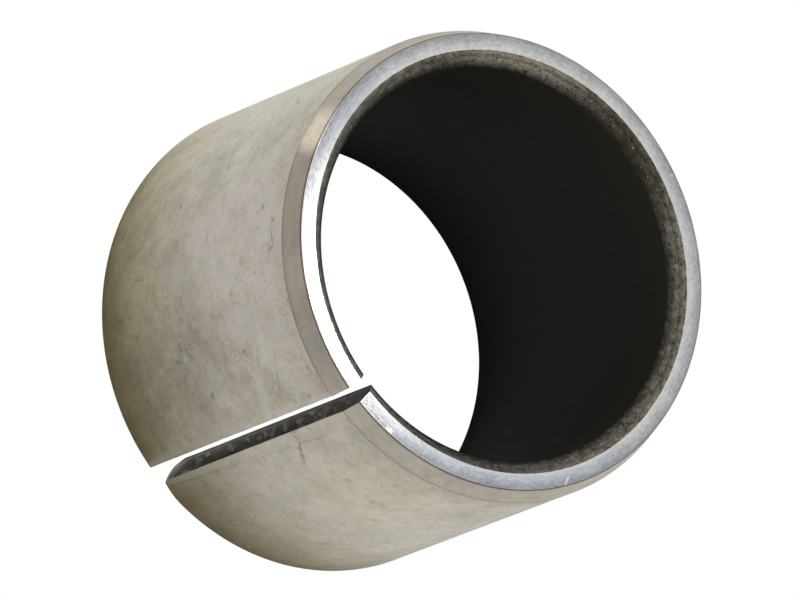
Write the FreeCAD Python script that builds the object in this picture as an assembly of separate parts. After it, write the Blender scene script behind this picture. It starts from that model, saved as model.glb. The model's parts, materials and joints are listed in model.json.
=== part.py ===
"""Wrapped plain bushing for a 10 mm shaft in a 12 mm housing, 10 mm long.

A flat strip of steel carries a bonded sliding layer of sintered bronze filled with PTFE. The strip is
cut to length, rolled into a ring and chamfered at both ends. Its two sheared ends, the lips, face each
other across an open seam. All lengths are in millimetres. +Z runs along the bore, the ring stands on its
lower end face at Z = 0, and the seam faces -Y.
"""
import FreeCAD, Part
import math
import os

from FreeCAD import Vector

# Ring
outer_diameter = 12.06          # as delivered, over nominal so that it grips a 12 mm housing
wall_thickness = 0.98
ring_length = 9.9

# Sliding layer, bonded inside the steel
sliding_layer_thickness = 0.22

# End edges
outer_chamfer_length = 0.62     # along the axis, upper end
outer_chamfer_angle = 17.0      # degrees between the chamfer and the axis
leading_chamfer_length = 0.27   # along the axis, lower end, the lead-in for pressing the ring home
leading_chamfer_angle = 36.0
leading_blend_radius = 0.80     # with which the lead-in runs into the outside, with no edge between them
inner_chamfer_depth = 0.35      # along the axis and across the wall, the lead-in for the shaft
face_edge_radius = 0.04         # edges of the two end faces, just broken
leading_edge_radius = 0.12      # outer edge of the lower end face, tumbled round

# Seam between the two lips
seam_gap_at_bore = 0.31
seam_gap_outside = 0.47
roll_over_width = 0.18          # where the shear pulled the outside down beside each lip
roll_over_depth = 0.03
roll_over_crown = 0.004         # how far the rolled-over edge bulges past a straight bevel
strip_corner_radius = 0.10      # lower corners of the flat strip, seen from outside

# How far a cutting shape runs past the ring, so that none of its ends lies on the ring's own faces
overrun = 1.0

# Worked out from the sizes above
outer_radius = outer_diameter / 2
bore_radius = outer_radius - wall_thickness
bond_radius = bore_radius + sliding_layer_thickness
face_inner_radius = bore_radius + inner_chamfer_depth
face_outer_radius = outer_radius - outer_chamfer_length * math.tan(math.radians(outer_chamfer_angle))
leading_face_radius = outer_radius - leading_chamfer_length * math.tan(math.radians(leading_chamfer_angle))
lip_angle = math.atan((seam_gap_outside - seam_gap_at_bore) / 2 / wall_thickness)

seam_direction = -90            # degrees round the axis from +X
AXIS = Vector(0, 0, 1)
LIP_SIDE = Vector(1, 0, 0)


def line(start, end):
    """Straight edge between two points."""
    return Part.LineSegment(start, end).toShape()


def arc(start, middle, end):
    """Round edge through three points."""
    return Part.Arc(start, middle, end).toShape()


def rounded_outline(corners):
    """Closed outline through the corners, each one rounded by the radius given with it."""
    arcs = []
    for index, (corner, radius) in enumerate(corners):
        back = (corners[index - 1][0] - corner).normalize()
        ahead = (corners[(index + 1) % len(corners)][0] - corner).normalize()
        half_angle = back.getAngle(ahead) / 2
        reach = radius / math.tan(half_angle)
        inward = (back + ahead).normalize()
        nearest = corner + inward * (radius / math.sin(half_angle) - radius)
        arcs.append((corner + back * reach, nearest, corner + ahead * reach, radius))
    edges = []
    for index, (start, middle, end, radius) in enumerate(arcs):
        if radius > 0:
            edges.append(arc(start, middle, end))
        edges.append(line(end, arcs[(index + 1) % len(arcs)][0]))
    return Part.Wire(edges)


def blend_radius(tumbled):
    """Radius between the lower lead-in and the outside, as large as the lead-in leaves room for."""
    slope = math.radians(leading_chamfer_angle)
    edge_reach = tumbled * math.tan((math.pi / 2 - slope) / 2)
    room = leading_chamfer_length / math.cos(slope) - edge_reach
    return min(leading_blend_radius, room / math.tan(slope / 2))


def wall_section():
    """Section of the whole wall where the seam will be, with the chamfers and broken edges of both ends."""
    face_width = min(face_outer_radius, leading_face_radius) - face_inner_radius
    broken = min(face_edge_radius, face_width / 2)
    tumbled = min(leading_edge_radius, face_width)
    corners = [
        (bore_radius, inner_chamfer_depth, 0),
        (face_inner_radius, 0, broken),
        (leading_face_radius, 0, tumbled),
        (outer_radius, leading_chamfer_length, blend_radius(tumbled)),
        (outer_radius, ring_length - outer_chamfer_length, 0),
        (face_outer_radius, ring_length, broken),
        (face_inner_radius, ring_length, broken),
        (bore_radius, ring_length - inner_chamfer_depth, 0),
    ]
    rounded = [(Vector(0, -distance, height), radius) for distance, height, radius in corners]
    return Part.Face(rounded_outline(rounded))


def closed_ring():
    """The wall section turned once round the axis, before the seam is opened."""
    return wall_section().revolve(Vector(0, 0, 0), AXIS, 360)


def lip_line():
    """Where the lip on the +X side leaves the bore, and the direction that it takes outwards."""
    start = Vector(seam_gap_at_bore / 2, -bore_radius, 0)
    outward = Vector(math.sin(lip_angle), -math.cos(lip_angle), 0)
    return start, outward


def point_on_lip(radius):
    """Point of the lip on the +X side at the given distance from the axis."""
    start, outward = lip_line()
    along = start.dot(outward)
    reach = math.sqrt(along ** 2 - start.dot(start) + radius ** 2) - along
    return start + outward * reach


def half_seam_outline():
    """Points of the seam's opening on the +X side, from inside the bore to outside the ring."""
    start, outward = lip_line()
    inside = start - outward * (seam_gap_at_bore / 2)
    lip_edge = point_on_lip(outer_radius - roll_over_depth)
    turn = FreeCAD.Rotation(AXIS, math.degrees(roll_over_width / outer_radius))
    surface_edge = turn.multVec(point_on_lip(outer_radius))
    middle = (lip_edge + surface_edge) / 2
    crown = middle * (1 + roll_over_crown / middle.Length)
    outside = surface_edge * ((outer_radius + overrun) / outer_radius)
    return inside, lip_edge, crown, surface_edge, outside


def mirrored(point):
    """The same point on the other side of the seam."""
    return Vector(-point.x, point.y, point.z)


def seam_opening():
    """The space between the lips: a flared slot through the wall, with both outer edges rolled over."""
    inside, lip_edge, crown, surface_edge, outside = half_seam_outline()
    outline = Part.Wire([
        line(mirrored(inside), inside),
        line(inside, lip_edge),
        arc(lip_edge, crown, surface_edge),
        line(surface_edge, outside),
        line(outside, mirrored(outside)),
        line(mirrored(outside), mirrored(surface_edge)),
        arc(mirrored(surface_edge), mirrored(crown), mirrored(lip_edge)),
        line(mirrored(lip_edge), mirrored(inside)),
    ])
    slot = Part.Face(outline).extrude(AXIS * (ring_length + 2 * overrun))
    slot.translate(AXIS * -overrun)
    return slot


def strip_corner():
    """What is rounded off the lower corner of the lip on the +X side, square through the wall."""
    start, outward = lip_line()
    foot = start - outward * (seam_gap_at_bore / 2)
    mid_seam = Vector(0, foot.y, 0)
    on_lip = foot + AXIS * strip_corner_radius
    on_end = foot + LIP_SIDE * strip_corner_radius
    on_arc = foot + (AXIS + LIP_SIDE) * (strip_corner_radius * (1 - math.sqrt(0.5)))
    below = AXIS * -overrun
    outline = Part.Wire([
        arc(on_lip, on_arc, on_end),
        line(on_end, on_end + below),
        line(on_end + below, mid_seam + below),
        line(mid_seam + below, mid_seam + AXIS * strip_corner_radius),
        line(mid_seam + AXIS * strip_corner_radius, on_lip),
    ])
    return Part.Face(outline).extrude(outward * (wall_thickness + overrun))


def split_ring():
    """The whole rolled strip, steel and sliding layer together, with its seam open."""
    right_corner = strip_corner()
    left_corner = right_corner.mirror(Vector(0, 0, 0), LIP_SIDE)
    return closed_ring().cut([seam_opening(), right_corner, left_corner])


def bond_core():
    """Everything inside the cylinder where the sliding layer is bonded to the steel."""
    core = Part.makeCylinder(bond_radius, ring_length + 2 * overrun, AXIS * -overrun, AXIS)
    core.rotate(Vector(0, 0, 0), AXIS, seam_direction)
    return core


def steel_backing():
    """The steel of the strip: outside, end faces, outer chamfers and most of each lip."""
    return split_ring().cut(bond_core())


def sliding_layer():
    """Sintered bronze filled and faced with PTFE: the bore, and most of both inner chamfers."""
    return split_ring().common(bond_core())


def main():
    os.makedirs("parts", exist_ok=True)
    for name, make in (("steel_backing", steel_backing), ("sliding_layer", sliding_layer)):
        shape = make()
        print(name, "solids", len(shape.Solids), "valid", shape.isValid(), "volume", round(shape.Volume, 3))
        shape.exportStep("parts/" + name + ".step")


main()
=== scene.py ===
# %% [markdown]
# # A wrapped plain bushing
#
# The real part starts as a flat strip: tin-plated steel with a thin layer of sintered bronze bonded to one
# side, its pores and its face filled with black PTFE. The strip is sheared to length, rolled into a ring and
# chamfered at both ends. Nothing closes the seam until the ring is pressed into its housing.
#
# This lesson makes it the same way. The strip is meshed flat, Geometry Nodes roll it up, and each finish that
# the eye can tell apart gets a material of its own.

# %% Load the fixed frame
import json
import math
from functools import partial

import bpy
import bmesh
from mathutils import Matrix, Vector


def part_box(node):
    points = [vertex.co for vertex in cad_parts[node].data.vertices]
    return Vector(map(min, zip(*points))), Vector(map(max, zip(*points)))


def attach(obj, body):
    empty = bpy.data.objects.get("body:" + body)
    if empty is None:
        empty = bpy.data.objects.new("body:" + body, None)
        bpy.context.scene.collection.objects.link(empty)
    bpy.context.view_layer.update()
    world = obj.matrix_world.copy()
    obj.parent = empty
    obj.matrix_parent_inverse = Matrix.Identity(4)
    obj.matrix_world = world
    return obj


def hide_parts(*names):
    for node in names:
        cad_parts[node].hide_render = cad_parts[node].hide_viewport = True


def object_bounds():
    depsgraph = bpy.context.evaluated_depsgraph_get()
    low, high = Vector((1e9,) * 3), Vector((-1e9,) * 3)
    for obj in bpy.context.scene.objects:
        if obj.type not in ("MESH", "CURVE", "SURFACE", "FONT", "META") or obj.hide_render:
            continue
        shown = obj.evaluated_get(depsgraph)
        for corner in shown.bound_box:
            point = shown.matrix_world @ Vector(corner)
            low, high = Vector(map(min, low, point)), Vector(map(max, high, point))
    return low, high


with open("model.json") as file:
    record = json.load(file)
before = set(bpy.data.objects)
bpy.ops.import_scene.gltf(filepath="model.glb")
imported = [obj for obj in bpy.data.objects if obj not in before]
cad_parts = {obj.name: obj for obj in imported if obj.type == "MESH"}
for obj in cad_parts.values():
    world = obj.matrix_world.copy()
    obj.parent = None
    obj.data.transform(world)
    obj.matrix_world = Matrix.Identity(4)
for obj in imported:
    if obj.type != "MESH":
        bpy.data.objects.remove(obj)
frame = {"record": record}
cad_low, cad_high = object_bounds()
MM = 0.001
scene = bpy.context.scene
print("CAD box in mm:", [round(v / MM, 3) for v in cad_low], [round(v / MM, 3) for v in cad_high])

# %% [markdown]
# ## Sizes
#
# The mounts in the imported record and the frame's own box give the bore, the outside and both chamfers, so the
# looks follow the construction by themselves. What they don't say is a named value here, in millimetres or as
# an angle: the upper outer chamfer, the lower lead-in with the wide arc above it, the radii of the edges of
# the end faces, the width of the seam, and how far each lip leans.

# %% Read the driving sizes from the frame
mounts = {mount["name"]: mount for mount in frame["record"]["mounts"]}
BORE = mounts["bore"]["dims"]["r_mm"]
OUTSIDE = cad_high.x / MM
LENGTH = round((cad_high.z - cad_low.z) / MM, 4)
INNER_CHAMFER = (LENGTH - mounts["bore"]["dims"]["length_mm"]) / 2
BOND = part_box("sliding_layer")[1].y / MM
seat_middle = mounts["housing_seat"]["pos_m"][2] / MM
seat_length = mounts["housing_seat"]["dims"]["length_mm"]
SEAT_LOW = seat_middle - seat_length / 2
SEAT_HIGH = seat_middle + seat_length / 2
print("bore", BORE, "bond", round(BOND, 3), "outside", round(OUTSIDE, 3), "length", LENGTH)
print("straight outside from", round(SEAT_LOW, 3), "to", round(SEAT_HIGH, 3))

# %% Sizes that the frame doesn't give
CHAMFER_ANGLE = math.radians(17)
LEAD_IN = 0.27
LEAD_IN_ANGLE = math.radians(36)
LEAD_IN_BLEND = (SEAT_LOW - LEAD_IN) / math.tan(LEAD_IN_ANGLE / 2)
BROKEN_EDGE = 0.04
TUMBLED_EDGE = 0.12
SEAM_AT_BORE = 0.31
SEAM_OUTSIDE = 0.47
LIP_ANGLE = 0.0814
FACE_INNER = BORE + INNER_CHAMFER
FACE_OUTER = OUTSIDE - (LENGTH - SEAT_HIGH) * math.tan(CHAMFER_ANGLE)
print("upper end face from", FACE_INNER, "to", round(FACE_OUTER, 3))

# %% [markdown]
# ## Small helpers for node trees
#
# Every tree below is written as plain calls: one call adds a node, gives its settings, and either links or
# fills its sockets. The ones used most have a short name of their own.


# %% Helpers that add nodes
def plug(tree, socket, value):
    """Link a socket to another node's output, or give it a plain value."""
    if isinstance(value, bpy.types.NodeSocket):
        tree.links.new(value, socket)
    elif socket.type == "RGBA" and len(value) == 3:
        socket.default_value = (*value, 1.0)
    else:
        socket.default_value = value


def add(tree, kind, sockets=None, **settings):
    """Add a node, set it up, and fill its input sockets."""
    node = tree.nodes.new(kind)
    for name, value in settings.items():
        setattr(node, name, value)
    for socket, value in (sockets or {}).items():
        plug(tree, node.inputs[socket], value)
    return node


def calc(tree, operation, first, second=0.0, third=0.0):
    """One sum on plain numbers, in a shader tree or a geometry tree."""
    return add(tree, "ShaderNodeMath", {0: first, 1: second, 2: third}, operation=operation).outputs[0]


def vector_calc(tree, operation, first, second=(0.0, 0.0, 0.0), scale=1.0):
    """One sum on vectors."""
    return add(tree, "ShaderNodeVectorMath", {0: first, 1: second, 3: scale}, operation=operation).outputs[0]


def ramp(tree, value, low, high, at_low=0.0, at_high=1.0, kind="LINEAR"):
    """Number that goes from at_low to at_high while value goes from low to high."""
    sockets = {"Value": value, "From Min": low, "From Max": high, "To Min": at_low, "To Max": at_high}
    return add(tree, "ShaderNodeMapRange", sockets, interpolation_type=kind).outputs["Result"]


def noise(tree, place, scale, detail, roughness=0.5):
    """Random pattern over a place: Fac is one number from 0 to 1, and Color is three."""
    sockets = {"Vector": place, "Scale": scale, "Detail": detail, "Roughness": roughness}
    return add(tree, "ShaderNodeTexNoise", sockets).outputs


print("helpers for nodes ready")


# %% Helpers for vectors and groups
def joined(tree, x=0.0, y=0.0, z=0.0):
    """Vector from three numbers."""
    return add(tree, "ShaderNodeCombineXYZ", {0: x, 1: y, 2: z}).outputs[0]


def parts(tree, value):
    """The three numbers of a vector."""
    return add(tree, "ShaderNodeSeparateXYZ", {0: value}).outputs


def turned(tree, value, angle, axis):
    """Vector turned about an axis."""
    sockets = {"Vector": value, "Angle": angle}
    return add(tree, "ShaderNodeVectorRotate", sockets, rotation_type=axis).outputs[0]


def product(tree, first, *others):
    """Product of two or more numbers."""
    for other in others:
        first = calc(tree, "MULTIPLY", first, other)
    return first


def diagonal(tree, first, second):
    """Root of the sum of two squares."""
    squares = calc(tree, "MULTIPLY_ADD", first, first, calc(tree, "MULTIPLY", second, second))
    return calc(tree, "SQRT", squares)


def new_group(name, kind, inputs, outputs):
    """Node group with named sockets, each given with its default or the word for its type."""
    tree = bpy.data.node_groups.new(name, kind)
    for in_out, sockets in (("INPUT", inputs), ("OUTPUT", outputs)):
        for label, value in sockets.items():
            word = value if isinstance(value, str) else type(value).__name__.capitalize()
            socket = tree.interface.new_socket(label, in_out=in_out, socket_type="NodeSocket" + word)
            if word != value:
                socket.default_value = value
    return tree, tree.nodes.new("NodeGroupInput").outputs, tree.nodes.new("NodeGroupOutput").inputs


print("helpers for groups ready")

# %% [markdown]
# ## The flat strip
#
# Before rolling, both layers are long thin bars with the same section all along. A section here is a list of
# levels: at each height, how far the layer's inner and outer sides lie from the future axis. Arcs at the
# edges of the end faces are sampled from their own circle. The bar is closed on all six sides, so the two
# sheared ends come with it.


# %% Section of the two layers
def spread(start, end, steps):
    """Evenly spaced numbers from start to end, both included."""
    return [start + (end - start) * step / steps for step in range(steps + 1)]


def upper_chamfer(from_end):
    """Distance of the outside from the axis near the upper end, with sharp edges."""
    return OUTSIDE - max(0.0, LENGTH - SEAT_HIGH - from_end) * math.tan(CHAMFER_ANGLE)


def lower_lead_in(from_end):
    """Distance of the outside from the axis near the lower end, where a wide arc runs into the outside."""
    below_seat = SEAT_LOW - from_end
    if below_seat <= 0:
        return OUTSIDE
    if below_seat < LEAD_IN_BLEND * math.sin(LEAD_IN_ANGLE):
        return OUTSIDE - LEAD_IN_BLEND + math.sqrt(LEAD_IN_BLEND ** 2 - below_seat ** 2)
    return OUTSIDE - (LEAD_IN - from_end) * math.tan(LEAD_IN_ANGLE)


def inner_chamfer(from_end):
    """Distance of the bore from the axis near an end, with sharp edges."""
    return BORE + max(0.0, INNER_CHAMFER - from_end)


def rounded(sharp, from_end, radius, slope, outward):
    """A side's distance where the edge of an end face is rounded. slope is the side's angle to the axis."""
    turn = math.pi / 2 - slope
    if from_end >= radius * (1 - math.cos(turn)):
        return sharp(from_end)
    centre = sharp(0.0) - outward * radius * math.tan(turn / 2)
    return centre + outward * math.sqrt(radius ** 2 - (radius - from_end) ** 2)


def steel_sides(height):
    """Inner and outer distance of the steel at a height."""
    from_end = max(0.0, min(height, LENGTH - height))
    if height < LENGTH / 2:
        outer = rounded(lower_lead_in, from_end, TUMBLED_EDGE, LEAD_IN_ANGLE, 1)
    else:
        outer = rounded(upper_chamfer, from_end, BROKEN_EDGE, CHAMFER_ANGLE, 1)
    return max(rounded(inner_chamfer, from_end, BROKEN_EDGE, math.pi / 4, -1), BOND), outer


def lining_sides(height):
    """Inner and outer distance of the sliding layer at a height."""
    return min(inner_chamfer(min(height, LENGTH - height)), BOND), BOND


print("steel at mid height from", [round(side, 3) for side in steel_sides(LENGTH / 2)])


# %% Levels of the two layers
def arc_levels(radius, turn, steps):
    """Heights that sample an edge rounding evenly round its arc."""
    return [radius * (1 - math.cos(angle)) for angle in spread(0.0, turn, steps)]


def tidy(levels):
    """The levels in order, without those that fall together."""
    return sorted({round(level, 4) for level in levels})


BOND_LEVEL = FACE_INNER - BOND
inner_edge = arc_levels(BROKEN_EDGE, math.pi / 4, 3) + spread(BOND_LEVEL, INNER_CHAMFER, 4)
blend_levels = [SEAT_LOW - LEAD_IN_BLEND * math.sin(angle) for angle in spread(0.0, LEAD_IN_ANGLE, 10)]
low_end = arc_levels(TUMBLED_EDGE, math.pi / 2 - LEAD_IN_ANGLE, 5) + blend_levels
high_edge = arc_levels(BROKEN_EDGE, math.pi / 2 - CHAMFER_ANGLE, 4)
high_end = inner_edge + high_edge + spread(INNER_CHAMFER, LENGTH - SEAT_HIGH, 4)
straight = spread(SEAT_LOW, SEAT_HIGH, 60)
steel_levels = tidy(inner_edge + low_end + straight + [LENGTH - level for level in high_end])
lining_end = spread(BOND_LEVEL, INNER_CHAMFER, 5)
lining_middle = spread(INNER_CHAMFER, LENGTH - INNER_CHAMFER, 24)
lining_levels = tidy(lining_end + lining_middle + [LENGTH - level for level in lining_end])
print(len(steel_levels), "levels in the steel,", len(lining_levels), "in the sliding layer")

# %% [markdown]
# The mesher gives every face a zone number, so that the nodes can dress each zone on its own later. Where two
# zones meet, the real part has a worked edge, so the shading is kept sharp there. The columns crowd together
# near the sheared ends, where the shear has pulled the edge over.

# %% Zones of the faces
OUTER_SKIN, OUTER_BEVEL, END_FACE, INNER_BEVEL, INNER_SKIN, LIP = range(1, 7)


def inner_zone(height):
    """Zone of the inner side at a height."""
    return INNER_BEVEL if min(height, LENGTH - height) < INNER_CHAMFER else INNER_SKIN


def outer_zone(height):
    """Zone of the outer side at a height. The lower lead-in has no edge, so it belongs to the outside."""
    return OUTER_BEVEL if height > SEAT_HIGH else OUTER_SKIN


print("zones on the outer side:", sorted({outer_zone(level) for level in steel_levels}))

# %% Mesh a bar from its section
COLUMNS = 360
STEEL_LAYERS = 6
LINING_LAYERS = 3
CROWDING = 0.85


def flat_bar(name, levels, sides, layers):
    """Closed bar: X runs from lip to lip as 0 to 1, Y is the distance from the axis, Z the height, in mm."""
    mesh = bmesh.new()
    zones = mesh.faces.layers.int.new("zone")
    corner = {}

    def vertex(i, j, k):
        if (i, j, k) not in corner:
            inner, outer = sides(levels[k])
            share = i / COLUMNS
            crowded = share - CROWDING * math.sin(2 * math.pi * share) / (2 * math.pi)
            corner[i, j, k] = mesh.verts.new((crowded, inner + (outer - inner) * j / layers, levels[k]))
        return corner[i, j, k]

    def face(zone, *places):
        made = mesh.faces.new([vertex(*place) for place in places])
        made.smooth = True
        made[zones] = zone

    last, top = COLUMNS, len(levels) - 1
    for k in range(top):
        middle = (levels[k] + levels[k + 1]) / 2
        for i in range(last):
            face(inner_zone(middle), (i, 0, k), (i, 0, k + 1), (i + 1, 0, k + 1), (i + 1, 0, k))
            face(outer_zone(middle), (i, layers, k), (i + 1, layers, k), (i + 1, layers, k + 1),
                 (i, layers, k + 1))
        for j in range(layers):
            face(LIP, (0, j, k), (0, j + 1, k), (0, j + 1, k + 1), (0, j, k + 1))
            face(LIP, (last, j, k), (last, j, k + 1), (last, j + 1, k + 1), (last, j + 1, k))
    for i in range(last):
        for j in range(layers):
            face(END_FACE, (i, j, 0), (i + 1, j, 0), (i + 1, j + 1, 0), (i, j + 1, 0))
            face(END_FACE, (i, j, top), (i, j + 1, top), (i + 1, j + 1, top), (i + 1, j, top))
    bmesh.ops.remove_doubles(mesh, verts=mesh.verts, dist=1e-6)
    for edge in mesh.edges:
        edge.smooth = len({face[zones] for face in edge.link_faces}) == 1
    data = bpy.data.meshes.new(name)
    mesh.to_mesh(data)
    mesh.free()
    bar = bpy.data.objects.new(name, data)
    scene.collection.objects.link(bar)
    print(name, len(data.vertices), "vertices,", len(data.polygons), "faces")
    return bar


steel = flat_bar("rolled_steel", steel_levels, steel_sides, STEEL_LAYERS)
lining = flat_bar("bronze_and_ptfe_lining", lining_levels, lining_sides, LINING_LAYERS)

# %% [markdown]
# ## Where a point lies on the ring
#
# All finishes are worked out from the place of a point on the part, in millimetres: how far round it is from
# the side opposite the seam, how high, and how far from the axis. The jump that such a turn must have
# somewhere is laid in the seam, where there is nothing to see. The group takes Object coordinates, so the
# finish is stuck to the part.

# %% Shader group: place on the ring
ring_place, _, place_out = new_group("place on the ring", "ShaderNodeTree", {}, {
    "Strip": "Vector", "Around": "Float", "Height": "Float", "Radius": "Float", "Millimetres": "Vector"})
object_place = add(ring_place, "ShaderNodeTexCoord").outputs["Object"]
in_mm = vector_calc(ring_place, "SCALE", object_place, scale=1 / MM)
x, y, z = parts(ring_place, in_mm)
around = calc(ring_place, "MULTIPLY", calc(ring_place, "ARCTAN2", x, y), OUTSIDE)
from_axis = diagonal(ring_place, x, y)
for label, value in (("Strip", joined(ring_place, around, z, from_axis)), ("Around", around), ("Height", z),
                     ("Radius", from_axis), ("Millimetres", in_mm)):
    plug(ring_place, place_out[label], value)


def along_strip(azimuth):
    """Where an azimuth in degrees falls along the unrolled strip, in mm from the side opposite the seam."""
    return math.radians((270 - azimuth) % 360 - 180) * OUTSIDE


print("the seam lies at", round(along_strip(-89.99), 2), "and", round(along_strip(-90.01), 2), "mm")

# %% [markdown]
# ## Shared marks
#
# A blot is a soft-edged patch for stains, small dents, painted light and painted shade, whose outline wanders
# so that it never looks drawn. Specks are pin-sized pits, dirt and painted glints, one here and there in a grid
# of random cells. Scuffs are short hair-fine scratches. Each is a group that gives a mask, and the finishes mix
# in as much of it as the real surface shows.

# %% Shader group: blot
blot, wanted, blot_out = new_group("blot", "ShaderNodeTree", {
    "Strip": "Vector", "Centre around": 0.0, "Centre height": 0.0, "Half width": 1.0, "Half height": 1.0,
    "Lean": 0.0, "Wander": 0.3, "Wander scale": 0.7, "Softness": 0.4}, {"Mask": "Float"})
sway = noise(blot, wanted["Strip"], wanted["Wander scale"], 4.0)["Color"]
sway = vector_calc(blot, "SUBTRACT", sway, (0.5, 0.5, 0.5))
sway = vector_calc(blot, "SCALE", sway, scale=wanted["Wander"])
centre = joined(blot, wanted["Centre around"], wanted["Centre height"])
offset = vector_calc(blot, "SUBTRACT", vector_calc(blot, "ADD", wanted["Strip"], sway), centre)
across, upward, _ = parts(blot, turned(blot, offset, wanted["Lean"], "Z_AXIS"))
across = calc(blot, "DIVIDE", across, wanted["Half width"])
upward = calc(blot, "DIVIDE", upward, wanted["Half height"])
rim_in = calc(blot, "SUBTRACT", 1.0, wanted["Softness"])
rim_out = calc(blot, "ADD", 1.0, wanted["Softness"])
inside = ramp(blot, diagonal(blot, across, upward), rim_in, rim_out, 1.0, 0.0, "SMOOTHSTEP")
plug(blot, blot_out["Mask"], inside)
print("blot has", len(blot.nodes), "nodes")

# %% Shader group: specks
specks, wanted, specks_out = new_group("specks", "ShaderNodeTree", {
    "Strip": "Vector", "Cells per mm": 2.0, "Size": 0.10, "Share": 0.2}, {"Mask": "Float"})
ragged = vector_calc(specks, "SCALE", noise(specks, wanted["Strip"], 9.0, 2.0)["Color"], scale=0.10)
ragged = vector_calc(specks, "ADD", wanted["Strip"], ragged)
cell = add(specks, "ShaderNodeTexVoronoi", {"Vector": ragged, "Scale": wanted["Cells per mm"]}).outputs
pick = add(specks, "ShaderNodeSeparateColor", {0: cell["Color"]}).outputs
wide = calc(specks, "MULTIPLY", wanted["Size"], ramp(specks, pick["Green"], 0.0, 1.0, 0.4, 1.3))
spot = ramp(specks, calc(specks, "DIVIDE", cell["Distance"], wide), 0.6, 1.2, 1.0, 0.0, "SMOOTHSTEP")
chosen = calc(specks, "LESS_THAN", pick["Red"], wanted["Share"])
strength = ramp(specks, pick["Blue"], 0.0, 1.0, 0.35, 1.0)
plug(specks, specks_out["Mask"], product(specks, spot, chosen, strength))
print("specks has", len(specks.nodes), "nodes")

# %% Shader group: scuffs
scuffs, wanted, scuffs_out = new_group("scuffs", "ShaderNodeTree", {
    "Strip": "Vector", "Lean": 0.0, "Length": 1.0, "Thinness": 12.0, "Share": 0.2}, {"Mask": "Float"})
lengthwise, crosswise, deep = parts(scuffs, turned(scuffs, wanted["Strip"], wanted["Lean"], "Z_AXIS"))
lengthwise = calc(scuffs, "DIVIDE", lengthwise, wanted["Length"])
crosswise = calc(scuffs, "MULTIPLY", crosswise, wanted["Thinness"])
hair = noise(scuffs, joined(scuffs, lengthwise, crosswise, deep), 1.0, 3.0)["Fac"]
line = ramp(scuffs, calc(scuffs, "ABSOLUTE", calc(scuffs, "SUBTRACT", hair, 0.5)), 0.0, 0.035, 1.0, 0.0)
bare = calc(scuffs, "SUBTRACT", 1.0, wanted["Share"])
where = ramp(scuffs, noise(scuffs, wanted["Strip"], 1.1, 2.0)["Fac"], bare, calc(scuffs, "ADD", bare, 0.08))
plug(scuffs, scuffs_out["Mask"], calc(scuffs, "MULTIPLY", line, where))
print("scuffs has", len(scuffs.nodes), "nodes")

# %% [markdown]
# ## A finish
#
# Each material starts from the same few parts: the Principled shader with its plain constants, the place on
# the ring, and a base colour. Then one mark after another is laid over the colour or tints it, each through
# its own mask, in the order in which they came onto the real surface.


# %% Helpers for finishes
class Finish:
    """A material that is being built: its tree, its Principled shader, its place on the ring, its colour."""

    def __init__(self, name, metallic, roughness, **constants):
        self.material = bpy.data.materials.new(name)
        self.material.use_nodes = True
        self.tree = self.material.node_tree
        self.shader = self.tree.nodes["Principled BSDF"]
        self.shader.inputs["Metallic"].default_value = metallic
        self.shader.inputs["Roughness"].default_value = roughness
        for label, value in constants.items():
            self.shader.inputs[label.replace("_", " ")].default_value = value
        self.calc = partial(calc, self.tree)
        self.ramp = partial(ramp, self.tree)
        self.product = partial(product, self.tree)
        self.place = self.use(ring_place, {})
        self.colour = None

    def use(self, group, sockets):
        """Outputs of a shared group, placed in this material."""
        return add(self.tree, "ShaderNodeGroup", sockets, node_tree=group).outputs

    def noise(self, scale, detail=4.0, place=None, stretch=None, roughness=0.5):
        """Noise from 0 to 1 over the part. stretch squeezes it along each axis."""
        source = place or self.place["Millimetres"]
        if stretch:
            source = vector_calc(self.tree, "MULTIPLY", source, stretch)
        return noise(self.tree, source, scale, detail, roughness)["Fac"]

    def blot(self, azimuth, height, half_width, half_height, **more):
        """Mask of one stain or dent, placed by its azimuth in degrees and its height in mm."""
        sockets = {"Strip": self.place["Strip"], "Centre around": along_strip(azimuth),
                   "Centre height": height, "Half width": half_width, "Half height": half_height}
        sockets.update({label.replace("_", " ").capitalize(): value for label, value in more.items()})
        return self.use(blot, sockets)["Mask"]

    def specks(self, cells_per_mm, size, share):
        """Mask of random specks: how dense the cells are, how large a speck is, how many cells have one."""
        return self.use(specks, {"Strip": self.place["Strip"], "Cells per mm": cells_per_mm, "Size": size,
                                 "Share": share})["Mask"]

    def mix(self, amount, below, above, how="MIX"):
        """Colour above laid over the colour below, by an amount or a mask."""
        sockets = {0: amount, 6: below, 7: above}
        return add(self.tree, "ShaderNodeMix", sockets, data_type="RGBA", blend_type=how).outputs[2]

    def lay(self, mask, colour, strength=1.0):
        """Lay a colour over the finish where the mask is."""
        self.colour = self.mix(self.calc("MULTIPLY", mask, strength), self.colour, colour)

    def tint(self, mask, tone, strength=1.0):
        """Multiply the finish by a tone where the mask is, as a thin stain or film does."""
        self.colour = self.mix(self.calc("MULTIPLY", mask, strength), self.colour, tone, "MULTIPLY")

    def end(self, heights, roughness=None):
        """Link colour, roughness and the bumps: each height comes with its depth in mm."""
        plug(self.tree, self.shader.inputs["Base Color"], self.colour)
        if roughness:
            plug(self.tree, self.shader.inputs["Roughness"], roughness)
        total = 0.0
        for height, depth_mm in heights:
            total = self.calc("MULTIPLY_ADD", height, depth_mm, total)
        bump = add(self.tree, "ShaderNodeBump", {"Height": total, "Distance": MM, "Strength": 1.0})
        plug(self.tree, self.shader.inputs["Normal"], bump.outputs[0])
        print(self.material.name, "has", len(self.tree.nodes), "nodes")
        return self.material


print("finishes start from", ring_place.name)
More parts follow.
